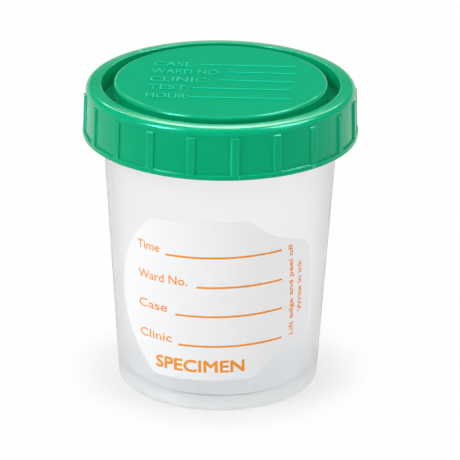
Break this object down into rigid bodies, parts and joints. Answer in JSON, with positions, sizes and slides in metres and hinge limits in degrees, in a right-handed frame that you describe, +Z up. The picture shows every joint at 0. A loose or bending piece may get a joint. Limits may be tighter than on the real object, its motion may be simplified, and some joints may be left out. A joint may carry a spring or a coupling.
{
  "type": "specimen container",
  "caption": "Tapered translucent plastic cup with a threaded neck, a ribbed screw lid with a plug seal, and a die-cut writing label.",
  "frame": {"origin": "centre of the foot ring on the ground, at the bottom centre of the whole part's box", "axes": "+Z up along the axis that the cup and lid turn about; the label faces -Y"},
  "size_m": [0.0656, 0.0656, 0.0754],
  "materials": {
    "cup_plastic": "translucent natural polypropylene, softly frosted",
    "lid_plastic": "glossy moulded green",
    "label_paper": "satin white label stock with printed rules"
  },
  "bodies": {
    "cup": {"cup": "cup_plastic", "label": "label_paper"},
    "lid": {"lid": "lid_plastic"}
  },
  "joints": [
    {"name": "lid_lift", "type": "slide", "parent": "cup", "child": "lid", "axis": [0, 0, 1], "range_m": [0, 0.06]}
  ]
}
